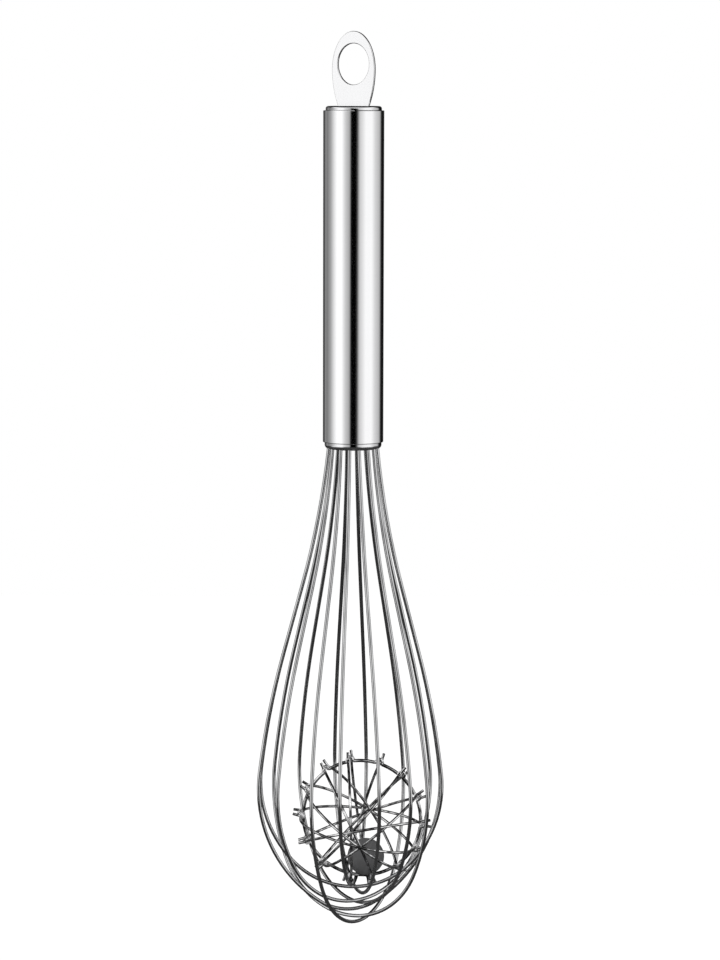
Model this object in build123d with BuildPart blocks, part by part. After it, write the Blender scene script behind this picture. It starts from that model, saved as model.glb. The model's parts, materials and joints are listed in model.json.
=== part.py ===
from build123d import *
from math import acos, atan2, cos, degrees, radians, sin, sqrt
import os

os.makedirs("parts", exist_ok=True)

# A balloon whisk of stainless steel with a loose wire cage inside its balloon
# and one loose ball inside the cage, hanging from its eye.
# Z runs up along the handle, the origin is the centre of the hanging eye,
# -Y is the front and X the right-hand side. All lengths are millimetres.

# Handle
tube_length = 110.9
tube_radius = 10.2
tube_wall = 0.7
tube_edge_radius = 0.25
top_cap_radius = 9.4
top_cap_height = 1.45
top_cap_edge_radius = 0.9
bottom_cap_radius = 9.6
bottom_cap_height = 2.2
bottom_cap_edge_radius = 1.3
cap_plug_depth = 6.0
plug_gap = 0.05

# Hanging tab
tab_thickness = 1.2
tab_turn_angle = 22.0
tab_half_width = 7.65
tab_crown_height = 12.7
tab_shoulder_height = 12.0
tab_base_half_width = 5.55
tab_tang_length = 5.0
tab_edge_radius = 0.25
slot_gap = 0.1
eye_width = 11.1
eye_height = 13.6
eye_centre_height = 13.8

# Balloon hoops, each bent from one wire with both legs held in the handle
hoop_wire_diameter = 1.25
hoop_gap = 0.25
balloon_depth = 161.75
balloon_half_width = 31.5
leg_circle_radius = 8.26
leg_inside_length = 20.0
leg_flare_angle = 5.8
leg_gap = 0.06
anchor_height = 17.0

# A hoop's outline turns at a neck corner, a shoulder corner, a side corner and a bottom corner.
# Down shares are of the balloon's depth and out shares of its half width.
neck_corner_down_share = 0.1438
shoulder_corner_down_share = 0.5555
shoulder_corner_out_share = 0.9048
shoulder_flare_share = 0.4467
shoulder_bend_share = 0.299

# One entry for each hoop from the left leg to the right leg. The nest shares count how many
# wire pitches a hoop hangs above the deepest one, and the leans are slopes of its axis.
hoop_turns = (-82.1, -56.2, -30.0, -8.3, 14.1, 37.5, 56.7, 82.3)
hoop_nest_shares = (2.07, 4.73, 0.0, 8.27, 5.67, 3.2, 1.0, 7.27)
hoop_bottom_corner_out_shares = (0.173, 0.521, 0.575, 0.183, 0.449, 0.519, 0.599, 0.38)
hoop_out_lean_shares = (0.0073, 0.008, 0.0071, 0.003, -0.0259, -0.021, 0.0007, -0.0042)
hoop_side_lean_shares = (-0.0007, 0.0272, 0.0249, 0.004, 0.0193, 0.0218, -0.0157, 0.0)

# Wire cage
ring_wire_diameter = 1.2
ring_radius = 20.2
kink_height = 1.5
kink_tip_radius = 0.75
kink_root_radius = 0.9
cage_wire_diameter = 0.95
cage_wire_gap = 0.08
weld_gap = 0.02
foot_bend_offset = 0.4
foot_bend_radius = 1.2
foot_tip_length = 3.2
foot_pair_gap = 1.58
front_dome_height = 17.0
rear_dome_height = 12.9
cage_right_offset = 3.3
cage_back_offset = 2.0
cage_hoop_gap = 0.25
cage_seat_accuracy = 0.01
cage_face_shares = (-0.12, -0.98, -0.06)

# Places where the dome wires cross the ring, counter-clockwise from the right, seen from the front
nub_turns = (101.4, 126.5, 152.4, 177.7, 204.0, 230.3, 257.0, 278.0, 307.0, 331.2, 356.0, 22.9, 48.9, 73.5)
shared_nub_turn = 225.9

# Each dome wire runs between two places, lies so many wire pitches above the lowest one and
# leans so many degrees to the left of its way.
front_dome_turns = (
    (101.4, 257.0, 1, 9.0),
    (126.5, 278.0, 0, 14.0),
    (152.4, 307.0, 5, 6.0),
    (177.7, 331.2, 6, 4.0),
    (204.0, 356.0, 4, 16.0),
    (230.3, 22.9, 2, 0.0),
    (shared_nub_turn, 48.9, 3, 2.0),
)
rear_dome_turns = (
    (101.4, 278.0, 6, -11.0),
    (126.5, 307.0, 0, 3.0),
    (152.4, 331.2, 2, -2.0),
    (177.7, 356.0, 4, -4.0),
    (204.0, 22.9, 5, -8.0),
    (230.3, 48.9, 1, -2.0),
    (257.0, 73.5, 3, 6.0),
)

# Ball
ball_radius = 6.3
ball_gap = 0.2
ball_turn_angle = -83.2
ball_front_offset = 1.5

half_turn = 180.0
quarter_turn = 90.0

# Places along the handle
cap_top = -eye_centre_height
tube_top = cap_top - top_cap_height
tube_bottom = tube_top - tube_length
balloon_top = tube_bottom - bottom_cap_height
plug_radius = tube_radius - tube_wall - plug_gap
bottom_plug_top = tube_bottom + cap_plug_depth


def finish(builder, name):
    """Name the finished piece and write it."""
    builder.part.label = name
    export_step(builder.part, f"parts/{name}.step")


def point_on_circle(radius, turn):
    """A point in a plane, a turn in degrees from its x axis."""
    return Vector(radius * cos(radians(turn)), radius * sin(radians(turn)))


# The handle is a drawn tube, open at both ends.
with BuildPart() as handle_tube:
    with BuildSketch(Plane.XY.offset(tube_bottom)):
        Circle(tube_radius)
        Circle(tube_radius - tube_wall, mode=Mode.SUBTRACT)
    extrude(amount=tube_length)
    rims = handle_tube.edges().filter_by(GeomType.CIRCLE).sort_by(SortBy.RADIUS)[-2:]
    fillet(rims, tube_edge_radius)
finish(handle_tube, "handle_tube")

# The tab stands across the handle's axis, turned a little to the right.
tab_plane = Plane.XZ.rotated((0, 0, -tab_turn_angle))
tab_shoulder = cap_top + tab_shoulder_height

with BuildPart() as hang_tab:
    with BuildSketch(tab_plane):
        with BuildLine():
            crown = EllipticalCenterArc(
                (0, tab_shoulder), tab_half_width, tab_crown_height, 0, arc_size=half_turn
            )
            left_side = TangentArc(crown @ 1, (-tab_base_half_width, cap_top), tangent=(0, -1))
            tang = Polyline(
                left_side @ 1,
                (-tab_base_half_width, cap_top - tab_tang_length),
                (tab_base_half_width, cap_top - tab_tang_length),
                (tab_base_half_width, cap_top),
            )
            TangentArc(crown @ 0, tang @ 1, tangent=(0, -1))
        make_face()
        Ellipse(eye_width / 2, eye_height / 2, mode=Mode.SUBTRACT)
    extrude(amount=tab_thickness / 2, both=True)
    fillet(hang_tab.faces().sort_by(SortBy.AREA)[-2:].edges(), tab_edge_radius)
finish(hang_tab, "hang_tab")

# The top cap is a turned plug with a slot for the tab's tang.
with BuildPart() as top_cap:
    with BuildSketch(Plane.XY.offset(tube_top)):
        Circle(top_cap_radius)
    extrude(amount=top_cap_height)
    fillet(top_cap.edges().sort_by(Axis.Z)[-1], top_cap_edge_radius)
    with BuildSketch(Plane.XY.offset(tube_top)):
        Circle(plug_radius)
    extrude(amount=-cap_plug_depth)
    with BuildSketch(Plane.XY.offset(cap_top)):
        slot_length = 2 * (tab_base_half_width + slot_gap)
        Rectangle(slot_length, tab_thickness + 2 * slot_gap, rotation=-tab_turn_angle)
    extrude(amount=-tab_tang_length - slot_gap, mode=Mode.SUBTRACT)
finish(top_cap, "top_cap")


def hoop_depth(index):
    """How far a hoop hangs below the bottom cap."""
    return balloon_depth - hoop_nest_shares[index] * (hoop_wire_diameter + hoop_gap)


def hoop_plane(index):
    """The plane of a hoop: x along its outward leg, y down its axis, at the bottom cap."""
    turn = radians(hoop_turns[index])
    out = Vector(sin(turn), -cos(turn), 0)
    side = Vector(cos(turn), sin(turn), 0)
    lean = out * hoop_out_lean_shares[index] + side * hoop_side_lean_shares[index]
    down = (lean - Vector(0, 0, 1)).normalized()
    out = (out - down * out.dot(down)).normalized()
    return Plane((0, 0, balloon_top), x_dir=out, z_dir=out.cross(down))


def down_and_out(angle):
    """A direction in a hoop's plane, flared outwards by an angle from straight down."""
    return Vector(sin(radians(angle)), cos(radians(angle)))


def hoop_spine(index):
    """The centre line of a hoop: two straight legs, joined round the bottom by tangent arcs."""
    leg = Vector(leg_circle_radius, 0)
    leg_down = down_and_out(leg_flare_angle)
    neck_run = balloon_depth * neck_corner_down_share / leg_down.Y
    neck = leg + leg_down * neck_run
    shoulder_out = balloon_half_width * shoulder_corner_out_share
    shoulder = Vector(shoulder_out, balloon_depth * shoulder_corner_down_share)
    flank = shoulder - neck
    flank_flare = degrees(atan2(flank.X, flank.Y))
    shoulder_down = down_and_out(flank_flare * shoulder_flare_share)
    shoulder_run = flank.length * shoulder_bend_share
    side_start = shoulder + shoulder_down * shoulder_run
    bottom_run = balloon_half_width * hoop_bottom_corner_out_shares[index]
    bottom = Vector(bottom_run, hoop_depth(index))
    # The side corner lies where its arc just reaches both the shoulder arc and the bottom arc.
    back = side_start - bottom
    side_run = (back.length**2 - bottom_run**2) / (2 * (bottom_run - shoulder_down.dot(back)))
    side = side_start + shoulder_down * side_run
    side_end = side + (bottom - side).normalized() * side_run
    with BuildLine() as half:
        Line(leg - leg_down * leg_inside_length, leg)
        neck_arc = TangentArc(leg, neck + flank.normalized() * neck_run, tangent=leg_down)
        Line(neck_arc @ 1, shoulder - flank.normalized() * shoulder_run)
        TangentArc(shoulder - flank.normalized() * shoulder_run, side_start, tangent=flank)
        TangentArc(side_start, side_end, tangent=shoulder_down)
        TangentArc(side_end, (0, bottom.Y), tangent=bottom - side)
        mirror(about=Plane.YZ)
    return hoop_plane(index).from_local_coords(half.wire())


hoop_spines = [hoop_spine(index) for index in range(len(hoop_turns))]


# Every leg is drilled for from its inner end, straight down along the leg.
leg_planes = [
    Plane(spine @ end, z_dir=(spine % end) * way) for spine in hoop_spines for end, way in ((0, 1), (1, -1))
]
leg_hole_length = leg_inside_length + 2 * hoop_wire_diameter

# The bottom cap is a turned plug, drilled for the legs.
with BuildPart() as bottom_cap:
    with BuildSketch(Plane.XY.offset(balloon_top)):
        Circle(bottom_cap_radius)
    extrude(amount=bottom_cap_height)
    fillet(bottom_cap.edges().sort_by(Axis.Z)[0], bottom_cap_edge_radius)
    with BuildSketch(Plane.XY.offset(tube_bottom)):
        Circle(plug_radius)
    extrude(amount=cap_plug_depth)
    with BuildSketch(*leg_planes):
        Circle(hoop_wire_diameter / 2 + leg_gap)
    extrude(amount=leg_hole_length, mode=Mode.SUBTRACT)
finish(bottom_cap, "bottom_cap")

# A plug of cast resin holds the ends of the legs inside the tube.
with BuildPart() as wire_anchor:
    with BuildSketch(Plane.XY.offset(bottom_plug_top)):
        Circle(plug_radius)
    extrude(amount=anchor_height)
    with BuildSketch(*leg_planes):
        Circle(hoop_wire_diameter / 2 + leg_gap)
    extrude(amount=leg_hole_length, mode=Mode.SUBTRACT)
finish(wire_anchor, "wire_anchor")

for index, spine in enumerate(hoop_spines):
    with BuildPart() as balloon_wire:
        with BuildSketch(Plane(spine @ 0, z_dir=spine % 0)):
            Circle(hoop_wire_diameter / 2)
        sweep(path=spine)
    finish(balloon_wire, f"balloon_wire_{index + 1}")


def dome_spine(plane, dome, way, lowest):
    """The centre line of a dome wire on the front (way 1) or the rear (way -1) of the ring."""
    start_turn, end_turn, level, lean = dome
    foot_radius = ring_radius + foot_bend_offset
    spread = degrees(foot_pair_gap / 2 / foot_radius) * way
    start = point_on_circle(foot_radius, start_turn + spread)
    end = point_on_circle(foot_radius, end_turn + spread)
    along = (end - start).normalized()
    half = (end - start).length / 2
    # Heights are measured square to the ring, and the leaning plane makes them longer.
    stretch = 1 / cos(radians(lean))
    base = (ring_wire_diameter / 2 + cage_wire_diameter / 2 + weld_gap) * stretch
    top = (lowest + level * (cage_wire_diameter + cage_wire_gap)) * stretch
    # The foot bend is centred above the foot, and touches the dome arc from outside.
    bend_x, bend_y = half + foot_bend_radius, base + foot_bend_radius
    dome_radius = (bend_x**2 + (top - bend_y) ** 2 - foot_bend_radius**2) / (2 * (top - base))
    bend_share = foot_bend_radius / (dome_radius + foot_bend_radius)
    meet = Vector(-bend_x, bend_y) + Vector(bend_x, top - dome_radius - bend_y) * bend_share
    with BuildLine() as side:
        Line((-half - foot_tip_length, base), (-bend_x, base))
        TangentArc((-bend_x, base), meet, tangent=(1, 0))
        ThreePointArc(meet, (0, top), (-meet.X, meet.Y))
        TangentArc((bend_x, base), (-meet.X, meet.Y), tangent=(-1, 0))
        Line((bend_x, base), (half + foot_tip_length, base))
    middle = plane.from_local_coords((start + end) / 2)
    across = plane.from_local_coords(along) - plane.origin
    up = plane.z_dir * way * cos(radians(lean)) + plane.z_dir.cross(across) * sin(radians(lean))
    return Plane(middle, x_dir=across, z_dir=across.cross(up)).from_local_coords(side.wire())


# The cage stands upright inside the balloon with its ring facing the front.
face = Vector(*cage_face_shares).normalized()
right = (Vector(1, 0, 0) - face * face.X).normalized()
foot_reach = ring_radius + foot_bend_offset + foot_tip_length
inner_depth = min(hoop_depth(index) for index in range(len(hoop_turns)))
high_seat = balloon_top - inner_depth + foot_reach + ring_radius
high_origin = Vector(cage_right_offset, cage_back_offset, high_seat)
high_plane = Plane(high_origin, x_dir=right, z_dir=face)
high_domes = {
    f"{name}_{number}": dome_spine(high_plane, dome, way, lowest)
    for name, domes, way, lowest in (
        ("front_cage_wire", front_dome_turns, 1, front_dome_height),
        ("rear_cage_wire", rear_dome_turns, -1, rear_dome_height),
    )
    for number, dome in enumerate(domes, 1)
}

# The cage comes down from there until its nearest dome wire keeps its gap to a hoop. No step is
# longer than the free way, so no wire passes through another.
cage_drop = 0
free_way = balloon_depth
while free_way > cage_seat_accuracy:
    lowered = Compound([spine.moved(Location((0, 0, -cage_drop))) for spine in high_domes.values()])
    clearance = lowered.distance_to(Compound(hoop_spines)) - hoop_wire_diameter / 2 - cage_wire_diameter / 2
    free_way = clearance - cage_hoop_gap
    cage_drop += free_way
cage_plane = Plane(high_origin - Vector(0, 0, cage_drop), x_dir=right, z_dir=face)

# The ring is one wire with a small outward kink for every pair of feet. Each kink is
# three arcs: two roots that leave the circle, and the tip between them.
kink_centre = ring_radius + kink_height - kink_tip_radius
root_centre = ring_radius + kink_root_radius
kink_bends = kink_root_radius + kink_tip_radius
kink_cosine = (root_centre**2 + kink_centre**2 - kink_bends**2) / (2 * root_centre * kink_centre)
kink_half_turn = degrees(acos(kink_cosine))

with BuildPart() as cage_ring:
    with BuildLine(mode=Mode.PRIVATE) as ring_line:
        turns = sorted(nub_turns)
        for turn, following in zip(turns, turns[1:] + [turns[0] + 360]):
            entry = point_on_circle(ring_radius, turn - kink_half_turn)
            leave = point_on_circle(ring_radius, turn + kink_half_turn)
            tip_centre = point_on_circle(kink_centre, turn)
            roots = [point_on_circle(root_centre, turn + way * kink_half_turn) for way in (-1, 1)]
            meets = [root + (tip_centre - root) * (kink_root_radius / kink_bends) for root in roots]
            round_ring = point_on_circle(ring_radius, turn - kink_half_turn + quarter_turn)
            root_arc = TangentArc(entry, meets[0], tangent=round_ring)
            tip_arc = TangentArc(meets[0], meets[1], tangent=root_arc % 1)
            TangentArc(meets[1], leave, tangent=tip_arc % 1)
            middle = (turn + following) / 2
            next_entry = point_on_circle(ring_radius, following - kink_half_turn)
            ThreePointArc(leave, point_on_circle(ring_radius, middle), next_entry)
    ring_spine = cage_plane.from_local_coords(ring_line.wire())
    with BuildSketch(Plane(ring_spine @ 0, z_dir=ring_spine % 0)):
        Circle(ring_wire_diameter / 2)
    sweep(path=ring_spine)
finish(cage_ring, "cage_ring")

for name, high_spine in high_domes.items():
    spine = high_spine.moved(Location((0, 0, -cage_drop)))
    with BuildPart() as cage_dome_wire:
        with BuildSketch(Plane(spine @ 0, z_dir=spine % 0)):
            Circle(cage_wire_diameter / 2)
        sweep(path=spine)
    finish(cage_dome_wire, name)

# The ball runs round the inside of the ring, a little in front of the ring's plane.
ball_reach = ball_radius + ball_gap + ring_wire_diameter / 2
ball_orbit = ring_radius - sqrt(ball_reach**2 - ball_front_offset**2)
ball_place = point_on_circle(ball_orbit, ball_turn_angle) + Vector(0, 0, ball_front_offset)
ball_centre = cage_plane.from_local_coords(ball_place)
with BuildPart() as agitator_ball:
    with Locations(ball_centre):
        Sphere(ball_radius)
finish(agitator_ball, "agitator_ball")
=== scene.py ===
import json
import math

import bpy
from bpy.props import FloatProperty, FloatVectorProperty, IntProperty, PointerProperty
from mathutils import Matrix, Vector


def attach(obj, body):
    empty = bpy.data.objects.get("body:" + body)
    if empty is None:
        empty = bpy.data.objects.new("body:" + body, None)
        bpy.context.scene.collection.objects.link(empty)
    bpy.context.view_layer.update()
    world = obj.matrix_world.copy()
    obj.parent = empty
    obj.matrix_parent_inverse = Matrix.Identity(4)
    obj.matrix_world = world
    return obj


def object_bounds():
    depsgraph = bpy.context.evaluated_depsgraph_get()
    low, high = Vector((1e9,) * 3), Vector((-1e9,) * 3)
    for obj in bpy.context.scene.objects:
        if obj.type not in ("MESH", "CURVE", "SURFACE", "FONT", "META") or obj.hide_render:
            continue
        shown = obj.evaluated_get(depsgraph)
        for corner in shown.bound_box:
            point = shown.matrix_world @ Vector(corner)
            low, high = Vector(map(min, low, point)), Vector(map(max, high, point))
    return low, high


bl_info = {
    "name": "Caged ball whisk",
    "version": (1, 0, 0),
    "blender": (4, 5, 0),
    "location": "View3D > Sidebar > Whisk",
    "description": "Finishes the parts of a balloon whisk with a ball cage and sets up its studio",
    "category": "Object",
}

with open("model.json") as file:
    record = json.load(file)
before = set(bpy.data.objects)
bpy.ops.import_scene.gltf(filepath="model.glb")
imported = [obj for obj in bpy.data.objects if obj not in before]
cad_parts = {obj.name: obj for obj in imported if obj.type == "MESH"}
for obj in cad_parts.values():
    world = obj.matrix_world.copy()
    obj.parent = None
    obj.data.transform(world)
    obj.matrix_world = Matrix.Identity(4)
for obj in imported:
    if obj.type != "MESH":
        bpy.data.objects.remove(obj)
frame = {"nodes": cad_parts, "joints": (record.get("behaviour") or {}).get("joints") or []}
cad_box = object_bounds()
OBJECT_LOW, OBJECT_HIGH = cad_box

HOOPS = [name for name in frame["nodes"] if name.startswith("balloon_wire_")]
DOME_WIRES = [name for name in frame["nodes"] if "cage_wire" in name]

# The cage's centre and axis are those of the joint that lets the ball roll round in it.
ROLL = next(joint for joint in frame["joints"] if joint["name"] == "ball_roll")

# Places where dome wires cross the cage's ring, in degrees counter-clockwise from the right, seen
# from the front. The last one has only a rear wire, and one more front wire stands beside the
# sixth.
NUB_TURNS = (
    101.4, 126.5, 152.4, 177.7, 204.0, 230.3, 257.0,
    278.0, 307.0, 331.2, 356.0, 22.9, 48.9, 73.5,
)
SHARED_NUB_TURN = 225.9

# Sides of the round pieces of the studio.
STUDIO_SIDES = 96

# Sockets of a Mix node that hold colours, which share their names with its other sockets.
MIX_FIRST = 6
MIX_SECOND = 7
MIX_RESULT = 2

BLACK = (0.0, 0.0, 0.0)
WHITE = (1.0, 1.0, 1.0)


class Value:
    """One output of a node. Maths on it adds Math nodes to its tree."""

    def __init__(self, finish, socket):
        self.finish = finish
        self.socket = socket

    def sibling(self, name):
        """Another output of the same node."""
        return Value(self.finish, self.socket.node.outputs[name])

    def maths(self, operation, first, second=0.0):
        return self.finish.node("ShaderNodeMath", {"operation": operation}, {0: first, 1: second})

    def __add__(self, other):
        return self.maths("ADD", self, other)

    def __sub__(self, other):
        return self.maths("SUBTRACT", self, other)

    def __mul__(self, other):
        return self.maths("MULTIPLY", self, other)

    def __truediv__(self, other):
        return self.maths("DIVIDE", self, other)

    __radd__ = __add__


class Finish:
    """A node tree that is built one node at a time."""

    def __init__(self, tree):
        self.tree = tree
        self.tree.nodes.clear()

    def node(self, kind, settings=None, values=None, output=0):
        """Add a node, make its settings, then fill its sockets with values or links."""
        node = self.tree.nodes.new(kind)
        for name, setting in (settings or {}).items():
            setattr(node, name, setting)
        for name, value in (values or {}).items():
            if isinstance(value, Value):
                self.tree.links.new(value.socket, node.inputs[name])
            else:
                node.inputs[name].default_value = value
        return Value(self, node.outputs[output]) if node.outputs else None

    def place(self, stretch=(1, 1, 1)):
        """The point of the surface in the object's own frame, stretched along the axes."""
        point = self.node("ShaderNodeTexCoord", output="Object")
        return self.node("ShaderNodeMapping", None, {"Vector": point, "Scale": stretch})

    def noise(self, place, scale, detail=3.0, roughness=0.5):
        values = {"Vector": place, "Scale": scale, "Detail": detail, "Roughness": roughness}
        return self.node("ShaderNodeTexNoise", None, values)

    def ramp(self, factor, stops):
        """Greys over a factor, each stop a place from 0 to 1 and a brightness."""
        shade = self.node("ShaderNodeValToRGB", None, {"Fac": factor})
        elements = shade.socket.node.color_ramp.elements
        while len(elements) < len(stops):
            elements.new(1.0)
        for element, (place, grey) in zip(elements, stops):
            element.position = place
            element.color = (grey, grey, grey, 1.0)
        return shade

    def mix(self, factor, first, second):
        """A colour between two colours."""
        colours = [each if isinstance(each, Value) else (*each, 1.0) for each in (first, second)]
        values = {"Factor": factor, MIX_FIRST: colours[0], MIX_SECOND: colours[1]}
        return self.node("ShaderNodeMix", {"data_type": "RGBA"}, values, output=MIX_RESULT)

    def bump(self, height, depth, strength=1.0):
        values = {"Height": height, "Distance": depth, "Strength": strength}
        return self.node("ShaderNodeBump", None, values)

    def surface(self, shader):
        self.node("ShaderNodeOutputMaterial", None, {"Surface": shader})

    def shown(self):
        """1 where the camera, a mirror image or a look through glass meets this surface."""
        path = self.node("ShaderNodeLightPath", output="Is Camera Ray")
        total = path + path.sibling("Is Glossy Ray") + path.sibling("Is Transmission Ray")
        return total.maths("MINIMUM", total, 1.0)


def new_material(name):
    """A material and the builder of its nodes."""
    material = bpy.data.materials.new(name)
    material.use_nodes = True
    return material, Finish(material.node_tree)


def steel(name, look, bare_share=1.0):
    """Bare or dulled metal: grain streaks, and smudges that at high contrast paint highlights."""
    material, finish = new_material(name)
    streaks = finish.noise(finish.place(look.grain), 1.0, detail=4.0, roughness=0.65)
    smudges_and_highlights = finish.noise(finish.place(), look.smudge_and_highlight_scale, detail=2.0)
    # At a high contrast, as on the wires, the patches are painted highlights and painted shade.
    pattern = streaks * (1 - look.smudge_and_highlight_share) + smudges_and_highlights * look.smudge_and_highlight_share
    tone = (pattern - 0.5) * look.contrast + 0.5
    shade = finish.mix(tone, look.dark_colour, look.colour)
    values = {
        "Base Color": shade,
        "Metallic": bare_share,
        "Roughness": look.roughness + (streaks + smudges_and_highlights - 1.0) * look.roughness_spread,
        "Normal": finish.bump(streaks, look.grain_depth, look.grain_share),
    }
    finish.surface(finish.node("ShaderNodeBsdfPrincipled", None, values))
    return material


def plastic(name, look):
    """Dull moulded plastic with fine pits and paler scuffs."""
    material, finish = new_material(name)
    pits = finish.noise(finish.place(), look.pit_scale, detail=3.0)
    scuffs = finish.noise(finish.place(), look.scuff_scale, detail=4.0, roughness=0.7)
    worn = finish.ramp(scuffs, ((look.scuffs_start, 0.0), (look.scuffs_full, 1.0)))
    values = {
        "Base Color": finish.mix(worn, look.colour, look.worn_colour),
        "Roughness": look.roughness + (pits - 0.5) * look.roughness_spread,
        "Specular IOR Level": look.shine,
        "Normal": finish.bump(pits, look.pit_depth, look.pit_share),
    }
    finish.surface(finish.node("ShaderNodeBsdfPrincipled", None, values))
    return material


def give(material, names):
    """Put a material on CAD nodes."""
    for name in names:
        frame["nodes"][name].data.materials.clear()
        frame["nodes"][name].data.materials.append(material)


def deselect_all():
    bpy.ops.object.select_all(action="DESELECT")


def colour_setting(name, description, default):
    return FloatVectorProperty(
        name=name, description=description, subtype="COLOR", min=0.0, max=1.0, default=default
    )


def share_setting(name, description, default):
    return FloatProperty(
        name=name, description=description, subtype="FACTOR", min=0.0, max=1.0, default=default
    )


def length_setting(name, description, default):
    return FloatProperty(
        name=name, description=description, unit="LENGTH", precision=6, default=default
    )


def place_setting(name, description, default):
    return FloatVectorProperty(
        name=name, description=description, subtype="TRANSLATION", unit="LENGTH", default=default
    )


def grain_setting(default):
    return FloatVectorProperty(
        name="Grain",
        description="Marks per metre along X, Y and Z",
        subtype="XYZ",
        default=default,
    )


def count_setting(name, description, default):
    return FloatProperty(name=name, description=description, min=0.0, default=default)


def angle_setting(name, description, default):
    return FloatProperty(name=name, description=description, subtype="ANGLE", default=default)


class HandleLook(bpy.types.PropertyGroup):
    """Satin tube, brushed round its axis."""

    colour: colour_setting("Colour", "Bare metal", (0.93, 0.93, 0.935))
    dark_colour: colour_setting("Dark colour", "Metal deep in the grain", (0.85, 0.85, 0.86))
    contrast: count_setting("Contrast", "How sharply dark and bare patches part", 1.0)
    smudge_and_highlight_share: share_setting("Smudge share", "Part of the smudges in the marks", 0.4)
    roughness: share_setting("Roughness", "How much reflections blur", 0.1)
    roughness_spread: share_setting("Roughness spread", "Change of roughness over the grain", 0.06)
    grain: grain_setting((60.0, 60.0, 5000.0))
    grain_depth: length_setting("Grain depth", "Depth of the brushed lines", 0.000003)
    grain_share: share_setting("Grain share", "How much of the grain shows", 0.4)
    smudge_and_highlight_scale: count_setting("Smudges", "Smudges and dull patches per metre", 70.0)


class CapLook(bpy.types.PropertyGroup):
    """Caps turned on a lathe."""

    colour: colour_setting("Colour", "Bare metal", (0.9, 0.9, 0.91))
    dark_colour: colour_setting("Dark colour", "Metal deep in the grain", (0.76, 0.76, 0.77))
    contrast: count_setting("Contrast", "How sharply dark and bare patches part", 1.0)
    smudge_and_highlight_share: share_setting("Smudge share", "Part of the smudges in the marks", 0.4)
    roughness: share_setting("Roughness", "How much reflections blur", 0.08)
    roughness_spread: share_setting("Roughness spread", "Change of roughness over the grain", 0.05)
    grain: grain_setting((90.0, 90.0, 9000.0))
    grain_depth: length_setting("Grain depth", "Depth of the lathe's lines", 0.000004)
    grain_share: share_setting("Grain share", "How much of the grain shows", 0.5)
    smudge_and_highlight_scale: count_setting("Smudges", "Smudges and dull patches per metre", 160.0)


class TabLook(bpy.types.PropertyGroup):
    """Flat tab, stamped from brushed sheet."""

    colour: colour_setting("Colour", "Bare metal", (0.94, 0.94, 0.945))
    dark_colour: colour_setting("Dark colour", "Metal deep in the grain", (0.85, 0.85, 0.86))
    contrast: count_setting("Contrast", "How sharply dark and bare patches part", 1.0)
    smudge_and_highlight_share: share_setting("Smudge share", "Part of the smudges in the marks", 0.4)
    roughness: share_setting("Roughness", "How much reflections blur", 0.2)
    roughness_spread: share_setting("Roughness spread", "Change of roughness over the grain", 0.1)
    grain: grain_setting((200.0, 200.0, 4000.0))
    grain_depth: length_setting("Grain depth", "Depth of the brushed lines", 0.000003)
    grain_share: share_setting("Grain share", "How much of the grain shows", 0.6)
    smudge_and_highlight_scale: count_setting("Smudges", "Smudges and dull patches per metre", 120.0)


class HoopLook(bpy.types.PropertyGroup):
    """Drawn wire of the balloon's hoops, with painted highlights and shade in patches along it."""

    colour: colour_setting("Colour", "Bare metal", (0.76, 0.76, 0.765))
    # Its dark colour and the contrast of its patches paint shade and highlights along the wire.
    dark_colour: colour_setting("Dark colour", "Metal deep in the grain", (0.42, 0.42, 0.425))
    contrast: count_setting("Contrast", "How sharply dark and bare patches part", 2.0)
    smudge_and_highlight_share: share_setting("Smudge share", "Part of the smudges in the marks", 0.92)
    roughness: share_setting("Roughness", "How much reflections blur", 0.1)
    roughness_spread: share_setting("Roughness spread", "Change of roughness over the grain", 0.08)
    grain: grain_setting((3000.0, 3000.0, 300.0))
    grain_depth: length_setting("Grain depth", "Depth of the die's lines", 0.000005)
    grain_share: share_setting("Grain share", "How much of the grain shows", 0.5)
    smudge_and_highlight_scale: count_setting("Smudges", "Smudges and dull patches per metre", 90.0)


class CageLook(bpy.types.PropertyGroup):
    """Bent and welded wire of the cage, with painted highlights and shade in patches along it."""

    colour: colour_setting("Colour", "Bare metal", (0.97, 0.97, 0.975))
    # The near-black dark colour and the strong contrast paint shade and highlights along the wire.
    dark_colour: colour_setting("Dark colour", "Metal deep in the grain", (0.12, 0.12, 0.122))
    contrast: count_setting("Contrast", "How sharply dark and bare patches part", 6.0)
    smudge_and_highlight_share: share_setting("Smudge share", "Part of the smudges in the marks", 0.9)
    roughness: share_setting("Roughness", "How much reflections blur", 0.1)
    roughness_spread: share_setting("Roughness spread", "Change of roughness over the grain", 0.1)
    grain: grain_setting((2500.0, 2500.0, 2500.0))
    grain_depth: length_setting("Grain depth", "Depth of the wire's marks", 0.000008)
    grain_share: share_setting("Grain share", "How much of the grain shows", 0.6)
    smudge_and_highlight_scale: count_setting("Smudges", "Smudges and dull patches per metre", 300.0)


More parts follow.
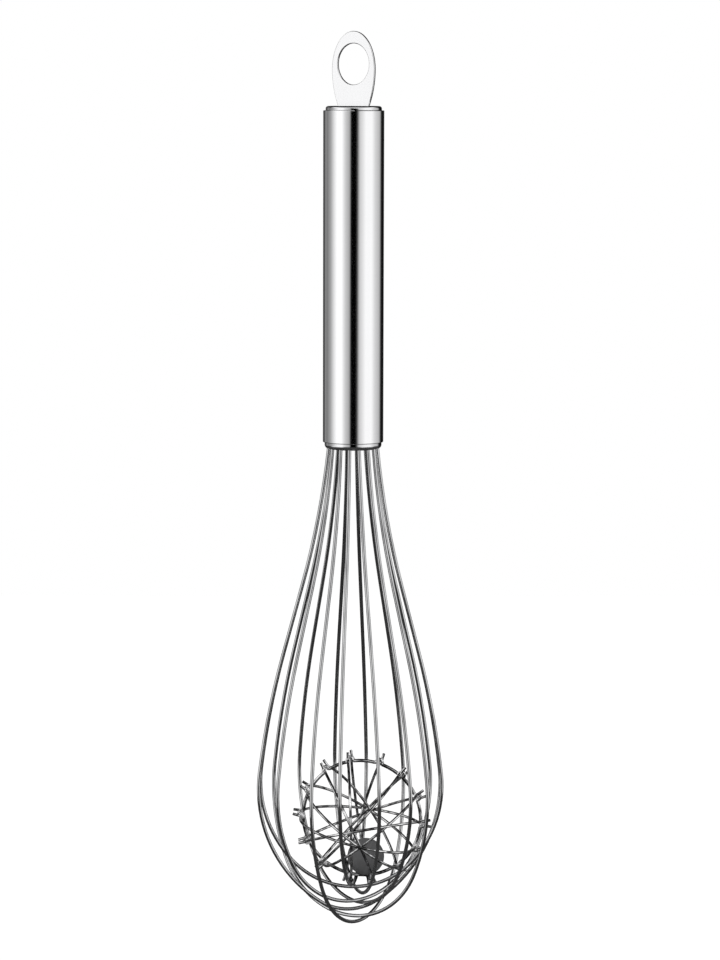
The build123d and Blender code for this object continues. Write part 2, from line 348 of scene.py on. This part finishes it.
class BeadLook(bpy.types.PropertyGroup):
    """Drops of solder on the cage's ring."""

    colour: colour_setting("Colour", "Bare metal", (0.98, 0.98, 0.985))
    dark_colour: colour_setting("Dark colour", "Metal deep in the grain", (0.9, 0.9, 0.91))
    contrast: count_setting("Contrast", "How sharply dark and bare patches part", 2.0)
    smudge_and_highlight_share: share_setting("Smudge share", "Part of the smudges in the marks", 0.6)
    roughness: share_setting("Roughness", "How much reflections blur", 0.45)
    roughness_spread: share_setting("Roughness spread", "Change of roughness over the grain", 0.12)
    grain: grain_setting((1500.0, 1500.0, 1500.0))
    grain_depth: length_setting("Grain depth", "Depth of the skin's ripples", 0.00004)
    grain_share: share_setting("Grain share", "How much of the grain shows", 0.6)
    smudge_and_highlight_scale: count_setting("Smudges", "Smudges and dull patches per metre", 900.0)
    bare_share: share_setting("Bare metal", "Share of bare metal in its dull skin", 0.5)
    half_width: length_setting("Half width", "Half the width of a drop", 0.00085)
    length_share: count_setting("Length", "Length of a drop over its width", 1.2)
    flatness: share_setting("Flatness", "Half the height of a drop over its half width", 0.55)
    unevenness: length_setting("Unevenness", "How far its skin strays", 0.00008)
    seed: IntProperty(name="Seed", description="Start of its random strays", default=3)
    levels: IntProperty(
        name="Levels", description="Subdivisions of a drop", min=1, max=4, default=3
    )
    ring_reach: length_setting("Reach", "From the ring's centre to a drop", 0.0208)
    foot_offset: length_setting("Foot offset", "From the middle of a kink to a foot", 0.00079)
    height: length_setting("Height", "From the ring's plane to a drop", 0.00062)


class ResinLook(bpy.types.PropertyGroup):
    """Cast resin round the ends of the legs."""

    colour: colour_setting("Colour", "Resin", (0.42, 0.33, 0.2))
    worn_colour: colour_setting("Worn colour", "Cloudy resin", (0.55, 0.47, 0.33))
    roughness: share_setting("Roughness", "How dull it is", 0.35)
    roughness_spread: share_setting("Roughness spread", "Change of roughness over the pits", 0.2)
    shine: share_setting("Shine", "Strength of its gloss", 0.5)
    pit_scale: count_setting("Pits", "Pits per metre", 1200.0)
    scuff_scale: count_setting("Clouds", "Clouds per metre", 260.0)
    scuffs_start: share_setting("Clouds start", "Value of the noise where a cloud starts", 0.5)
    scuffs_full: share_setting("Clouds full", "Value of the noise where a cloud is full", 0.72)
    pit_depth: length_setting("Pit depth", "Depth of the pits", 0.00003)
    pit_share: share_setting("Pit share", "How much of the pits shows", 0.7)


class BallLook(bpy.types.PropertyGroup):
    """Dull dark plastic of the ball."""

    colour: colour_setting("Colour", "Plastic", (0.1, 0.1, 0.102))
    worn_colour: colour_setting("Worn colour", "Scuffed plastic", (0.12, 0.12, 0.123))
    roughness: share_setting("Roughness", "How dull it is", 0.65)
    roughness_spread: share_setting("Roughness spread", "Change of roughness over the pits", 0.2)
    shine: share_setting("Shine", "Strength of its gloss", 0.2)
    pit_scale: count_setting("Pits", "Pits per metre", 2500.0)
    scuff_scale: count_setting("Scuffs", "Scuffs per metre", 500.0)
    scuffs_start: share_setting("Scuffs start", "Value of the noise where a scuff starts", 0.5)
    scuffs_full: share_setting("Scuffs full", "Value of the noise where a scuff is full", 0.72)
    pit_depth: length_setting("Pit depth", "Depth of the pits", 0.00003)
    pit_share: share_setting("Pit share", "How much of the pits shows", 0.7)


class StudioSettings(bpy.types.PropertyGroup):
    """Camera, lamps, floor and the tent that the steel reflects."""

    camera_place: place_setting(
        "Camera place", "Where the camera stands", (0.000288, -1.08, -0.014932)
    )
    camera_tilt: angle_setting("Camera tilt", "How far it looks down", 0.1145)
    camera_turn: angle_setting("Camera turn", "How far it looks to the right", 0.00165)
    camera_roll: angle_setting("Camera roll", "How far it leans to the left", 0.0025)
    lens: FloatProperty(name="Lens", description="Focal length in millimetres", default=120.88)
    nearest_sight: length_setting("Nearest sight", "Where the camera starts to see", 0.01)
    floor_drop: length_setting("Floor drop", "From the whisk's tip to the floor", 0.8)
    floor_size: length_setting("Floor size", "Side of the floor", 12.0)
    floor_colour: colour_setting("Floor", "Fibres of the paper", (0.78, 0.78, 0.78))
    floor_pale_colour: colour_setting("Pale floor", "Pale fibres", (0.8, 0.8, 0.8))
    floor_scale: count_setting("Fibres", "Fibres per metre", 40.0)
    floor_roughness: share_setting("Floor roughness", "How dull the paper is", 0.9)
    floor_glow: share_setting("Floor glow", "Strength of the paper's own light", 0.45)
    mat_gap: length_setting("Mat gap", "From the floor up to the mat that the steel mirrors", 0.02)
    mat_colour: colour_setting("Mat", "Felt", (0.02, 0.02, 0.02))
    mat_pale_colour: colour_setting("Pale mat", "Worn felt", (0.08, 0.08, 0.08))
    mat_scale: count_setting("Felt", "Worn patches per metre", 6.0)
    tent_radius: length_setting("Tent radius", "Half the tent's width and half its height", 3.0)
    room_light: share_setting("Room light", "Strength of the light all round", 0.75)
    key_place: place_setting("Key lamp", "Where the stronger lamp stands", (-0.7, -0.9, 0.5))
    key_light: FloatProperty(
        name="Key light", description="Power of the stronger lamp", unit="POWER", default=9.0
    )
    fill_place: place_setting("Fill lamp", "Where the weaker lamp stands", (0.9, -0.7, 0.1))
    fill_light: FloatProperty(
        name="Fill light", description="Power of the weaker lamp", unit="POWER", default=3.0
    )
    lamp_size: length_setting("Lamp size", "Side of a lamp", 0.8)


# The tent's cloth: turn in degrees, brightness. The turns run from straight behind the whisk over
# its left side, the camera at 0 and its right side back to straight behind.
TENT_TURNS = (
    (-180, 0.5),
    (-160, 0.07),
    (-141, 0.07),
    (-131, 0.29),
    (-118, 0.2),
    (-96, 0.4),
    (-86, 0.64),
    (-75, 0.92),
    (-65, 1.14),
    (-45, 1.14),
    (-37, 0.86),
    (-29, 0.65),
    (-18, 0.48),
    (-14, 0.36),
    (-10, 0.03),
    (-8, 0.0),
    (9, 0.0),
    (14, 0.06),
    (17, 0.2),
    (20, 0.46),
    (24, 0.67),
    (35, 0.85),
    (47, 1.07),
    (73, 1.07),
    (88, 0.77),
    (99, 0.65),
    (112, 0.54),
    (119, 0.38),
    (127, 0.02),
    (147, 0.0),
    (160, 0.02),
    (180, 0.5),
)

# The cloth's dark skirt with its two windows, in the same way.
SKIRT_TURNS = (
    (-180, 0.0),
    (-104, 0.02),
    (-88, 0.9),
    (-46, 0.9),
    (-34, 0.04),
    (26, 0.0),
    (38, 0.9),
    (84, 0.9),
    (98, 0.04),
    (180, 0.0),
)

# The cloth's bright band high up in front, in the same way.
BAND_TURNS = ((-180, 0.0), (-120, 0.0), (-90, 1.15), (90, 1.15), (120, 0.0), (180, 0.0))

# Shares of the skirt, of the bright band above the wall and of the cloth below the dark roof, each
# over the slope of the line of sight from the tent's middle.
SKIRT_SLOPES = ((-1.0, 1.0), (-0.26, 1.0), (-0.19, 0.0), (1.0, 0.0))
BAND_SLOPES = ((-1.0, 0.0), (0.3, 0.0), (0.42, 1.0), (1.0, 1.0))
BELOW_ROOF_SLOPES = ((-1.0, 1.0), (0.75, 1.0), (0.9, 0.0), (1.0, 0.0))


class WHISK_OT_finish_handle(bpy.types.Operator):
    """Brush the tube round its axis"""

    bl_idname = "whisk.finish_handle"
    bl_label = "Finish the handle"

    def execute(self, context):
        give(steel("satin_steel", context.scene.whisk_handle), ["handle_tube"])
        return {"FINISHED"}


class WHISK_OT_finish_caps(bpy.types.Operator):
    """Give the two caps the lathe's lines"""

    bl_idname = "whisk.finish_caps"
    bl_label = "Finish the caps"

    def execute(self, context):
        give(steel("turned_steel", context.scene.whisk_cap), ["top_cap", "bottom_cap"])
        return {"FINISHED"}


class WHISK_OT_finish_tab(bpy.types.Operator):
    """Brush the hanging tab across its face"""

    bl_idname = "whisk.finish_tab"
    bl_label = "Finish the tab"

    def execute(self, context):
        give(steel("tab_steel", context.scene.whisk_tab), ["hang_tab"])
        return {"FINISHED"}


class WHISK_OT_finish_anchor(bpy.types.Operator):
    """Give the plug inside the handle its cast resin"""

    bl_idname = "whisk.finish_anchor"
    bl_label = "Finish the anchor"

    def execute(self, context):
        give(plastic("cast_resin", context.scene.whisk_resin), ["wire_anchor"])
        return {"FINISHED"}


class WHISK_OT_finish_hoops(bpy.types.Operator):
    """Give the eight hoops of the balloon a drawn wire finish with painted highlights"""

    bl_idname = "whisk.finish_hoops"
    bl_label = "Finish the hoops"

    def execute(self, context):
        give(steel("hoop_steel_painted_highlights", context.scene.whisk_hoop), HOOPS)
        return {"FINISHED"}


class WHISK_OT_finish_cage(bpy.types.Operator):
    """Give the ring and the dome wires of the cage their finish with painted highlights and shade
    """

    bl_idname = "whisk.finish_cage"
    bl_label = "Finish the cage"

    def execute(self, context):
        material = steel("cage_steel_painted_highlights", context.scene.whisk_cage)
        give(material, ["cage_ring", *DOME_WIRES])
        return {"FINISHED"}


class WHISK_OT_add_beads(bpy.types.Operator):
    """Add a drop of solder where each foot of a dome wire meets the ring"""

    bl_idname = "whisk.add_beads"
    bl_label = "Add the solder beads"

    def execute(self, context):
        look = context.scene.whisk_bead
        bead = self.model_bead(context, look)
        material = steel("dull_solder", look, look.bare_share)
        front = [(turn, 1) for turn in (*NUB_TURNS[:-1], SHARED_NUB_TURN)]
        rear = [(turn, -1) for turn in NUB_TURNS]
        beads = [bead]
        for _ in (front + rear)[1:]:
            copy = bead.copy()
            copy.data = bead.data.copy()
            context.collection.objects.link(copy)
            beads.append(copy)
        for number, (each, (turn, way)) in enumerate(zip(beads, front + rear), 1):
            each.name = f"solder_bead_{number:02d}"
            each.data.materials.append(material)
            each.matrix_world = self.bead_place(look, turn, way)
        deselect_all()
        for each in beads:
            each.select_set(True)
        bpy.ops.object.transform_apply(location=True, rotation=True, scale=True)
        for each in beads:
            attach(each, "cage")
        return {"FINISHED"}

    def model_bead(self, context, look):
        """One uneven flattened drop, its middle at the origin."""
        deselect_all()
        bpy.ops.mesh.primitive_ico_sphere_add(
            subdivisions=look.levels, radius=look.half_width, location=(0, 0, 0)
        )
        bpy.ops.object.mode_set(mode="EDIT")
        bpy.ops.mesh.select_all(action="SELECT")
        bpy.ops.transform.resize(value=(look.length_share, 1.0, look.flatness))
        bpy.ops.transform.vertex_random(offset=look.unevenness, normal=1.0, seed=look.seed)
        bpy.ops.mesh.normals_make_consistent(inside=False)
        bpy.ops.object.mode_set(mode="OBJECT")
        bpy.ops.object.shade_smooth()
        return context.active_object

    def bead_place(self, look, turn, way):
        """Where a drop sits on the ring's front (way 1) or rear (way -1), long side outwards."""
        face = Vector(ROLL["axis"]).normalized()
        right = (Vector((1, 0, 0)) - face * face.x).normalized()
        ring = Matrix((right, face.cross(right), face)).transposed().to_4x4()
        angle = math.radians(turn) + way * look.foot_offset / look.ring_reach
        reach = Matrix.Translation((look.ring_reach, 0, way * look.height))
        return Matrix.Translation(ROLL["pos_m"]) @ ring @ Matrix.Rotation(angle, 4, "Z") @ reach


class WHISK_OT_finish_ball(bpy.types.Operator):
    """Give the ball its dull dark plastic"""

    bl_idname = "whisk.finish_ball"
    bl_label = "Finish the ball"

    def execute(self, context):
        give(plastic("ball_plastic", context.scene.whisk_ball), ["agitator_ball"])
        return {"FINISHED"}


def tent_material():
    """Cloth that glows from dark to bright round the object, as its stops say."""
    material, finish = new_material("tent_cloth")
    right = finish.node("ShaderNodeSeparateXYZ", None, {"Vector": finish.place()}, output="X")
    back, height = right.sibling("Y"), right.sibling("Z")
    turn = right.maths("ARCTAN2", right, back * -1.0)
    slope = height / bpy.context.scene.whisk_studio.tent_radius
    wall, skirt, band = (
        finish.ramp(turn / math.tau + 0.5, [(at / 360 + 0.5, shade) for at, shade in stops])
        for stops in (TENT_TURNS, SKIRT_TURNS, BAND_TURNS)
    )
    low, high, below_roof = (
        finish.ramp(slope * 0.5 + 0.5, [(at / 2 + 0.5, shade) for at, shade in stops])
        for stops in (SKIRT_SLOPES, BAND_SLOPES, BELOW_ROOF_SLOPES)
    )
    glow = finish.mix(high, finish.mix(low, wall, skirt), band)
    glow = finish.mix(below_roof, BLACK, glow)
    finish.surface(finish.node("ShaderNodeEmission", None, {"Color": glow, "Strength": 1.0}))
    return material


class WHISK_OT_set_studio(bpy.types.Operator):
    """Set up the camera, the lamps, the floor and the tent"""

    bl_idname = "whisk.set_studio"
    bl_label = "Set up the studio"

    def execute(self, context):
        settings = context.scene.whisk_studio
        self.add_camera(context, settings)
        self.add_floor(context, settings)
        self.add_mat(context, settings)
        self.add_tent(context, settings)
        self.add_lamps(context, settings)
        self.set_world(context, settings)
        context.scene.view_settings.view_transform = "Standard"
        return {"FINISHED"}

    def add_camera(self, context, settings):
        deselect_all()
        turns = (math.pi / 2 - settings.camera_tilt, -settings.camera_roll, -settings.camera_turn)
        bpy.ops.object.camera_add(location=settings.camera_place, rotation=turns)
        camera = context.active_object
        camera.data.lens = settings.lens
        camera.data.clip_start = settings.nearest_sight
        context.scene.camera = camera

    def add_floor(self, context, settings):
        """White paper below the whisk, which glows for the camera and keeps the whisk's shadow."""
        deselect_all()
        height = OBJECT_LOW.z - settings.floor_drop
        bpy.ops.mesh.primitive_plane_add(size=settings.floor_size, location=(0, 0, height))
        floor = context.active_object
        floor.name = "studio_floor"
        material, finish = new_material("floor_paper")
        fibres = finish.noise(finish.place(), settings.floor_scale)
        values = {
            "Base Color": finish.mix(fibres, settings.floor_colour, settings.floor_pale_colour),
            "Roughness": settings.floor_roughness,
            "Emission Color": finish.mix(finish.shown(), BLACK, WHITE),
            "Emission Strength": settings.floor_glow,
        }
        finish.surface(finish.node("ShaderNodeBsdfPrincipled", None, values))
        floor.data.materials.append(material)

    def add_mat(self, context, settings):
        """A dark mat just above the paper, which only the steel mirrors."""
        deselect_all()
        height = OBJECT_LOW.z - settings.floor_drop + settings.mat_gap
        bpy.ops.mesh.primitive_circle_add(
            vertices=STUDIO_SIDES,
            radius=settings.tent_radius,
            fill_type="NGON",
            location=(0, 0, height),
        )
        mat = context.active_object
        mat.name = "studio_mat"
        material, finish = new_material("mat_felt")
        wear = finish.noise(finish.place(), settings.mat_scale)
        felt = finish.mix(wear, settings.mat_colour, settings.mat_pale_colour)
        finish.surface(finish.node("ShaderNodeEmission", None, {"Color": felt, "Strength": 1.0}))
        mat.data.materials.append(material)
        self.mirror_only(mat)

    def add_tent(self, context, settings):
        """Cloth round the whisk, which only the steel mirrors."""
        deselect_all()
        bpy.ops.mesh.primitive_cylinder_add(
            vertices=STUDIO_SIDES,
            radius=settings.tent_radius,
            depth=2 * settings.tent_radius,
            end_fill_type="NGON",
        )
        tent = context.active_object
        tent.name = "studio_tent"
        tent.data.materials.append(tent_material())
        self.mirror_only(tent)

    def mirror_only(self, stage):
        """Show a piece of the stage in reflections alone."""
        stage.visible_camera = False
        stage.visible_diffuse = False
        stage.visible_transmission = False
        stage.visible_shadow = False

    def add_lamps(self, context, settings):
        target = (OBJECT_LOW + OBJECT_HIGH) / 2
        for name, place, power in (
            ("key_lamp", settings.key_place, settings.key_light),
            ("fill_lamp", settings.fill_place, settings.fill_light),
        ):
            deselect_all()
            bpy.ops.object.light_add(type="AREA", location=place)
            lamp = context.active_object
            lamp.name = name
            lamp.rotation_euler = (target - Vector(place)).to_track_quat("-Z", "Y").to_euler()
            lamp.data.size = settings.lamp_size
            lamp.data.energy = power
            lamp.visible_glossy = False

    def set_world(self, context, settings):
        world = bpy.data.worlds.new("studio_room")
        world.use_nodes = True
        context.scene.world = world
        finish = Finish(world.node_tree)
        room = (settings.room_light,) * 3
        light = finish.mix(finish.shown(), room, WHITE)
        background = finish.node("ShaderNodeBackground", None, {"Color": light, "Strength": 1.0})
        finish.node("ShaderNodeOutputWorld", None, {"Surface": background})


class WHISK_PT_sidebar(bpy.types.Panel):
    """Lists the whisk's finishes and its studio"""

    bl_idname = "WHISK_PT_sidebar"
    bl_label = "Whisk"
    bl_space_type = "VIEW_3D"
    bl_region_type = "UI"
    bl_category = "Whisk"

    def draw(self, context):
        for operator in OPERATORS:
            self.layout.operator(operator.bl_idname)


SETTINGS = {
    "whisk_handle": HandleLook,
    "whisk_cap": CapLook,
    "whisk_tab": TabLook,
    "whisk_hoop": HoopLook,
    "whisk_cage": CageLook,
    "whisk_bead": BeadLook,
    "whisk_resin": ResinLook,
    "whisk_ball": BallLook,
    "whisk_studio": StudioSettings,
}
OPERATORS = (
    WHISK_OT_finish_handle,
    WHISK_OT_finish_caps,
    WHISK_OT_finish_tab,
    WHISK_OT_finish_anchor,
    WHISK_OT_finish_hoops,
    WHISK_OT_finish_cage,
    WHISK_OT_add_beads,
    WHISK_OT_finish_ball,
    WHISK_OT_set_studio,
)
CLASSES = (*SETTINGS.values(), *OPERATORS, WHISK_PT_sidebar)


def register():
    for each in CLASSES:
        bpy.utils.register_class(each)
    for name, group in SETTINGS.items():
        setattr(bpy.types.Scene, name, PointerProperty(type=group))


def unregister():
    for name in SETTINGS:
        delattr(bpy.types.Scene, name)
    for each in reversed(CLASSES):
        bpy.utils.unregister_class(each)


def main():
    register()
    for operator in OPERATORS:
        group, name = operator.bl_idname.split(".")
        getattr(getattr(bpy.ops, group), name)()


if __name__ == "__main__":
    main()
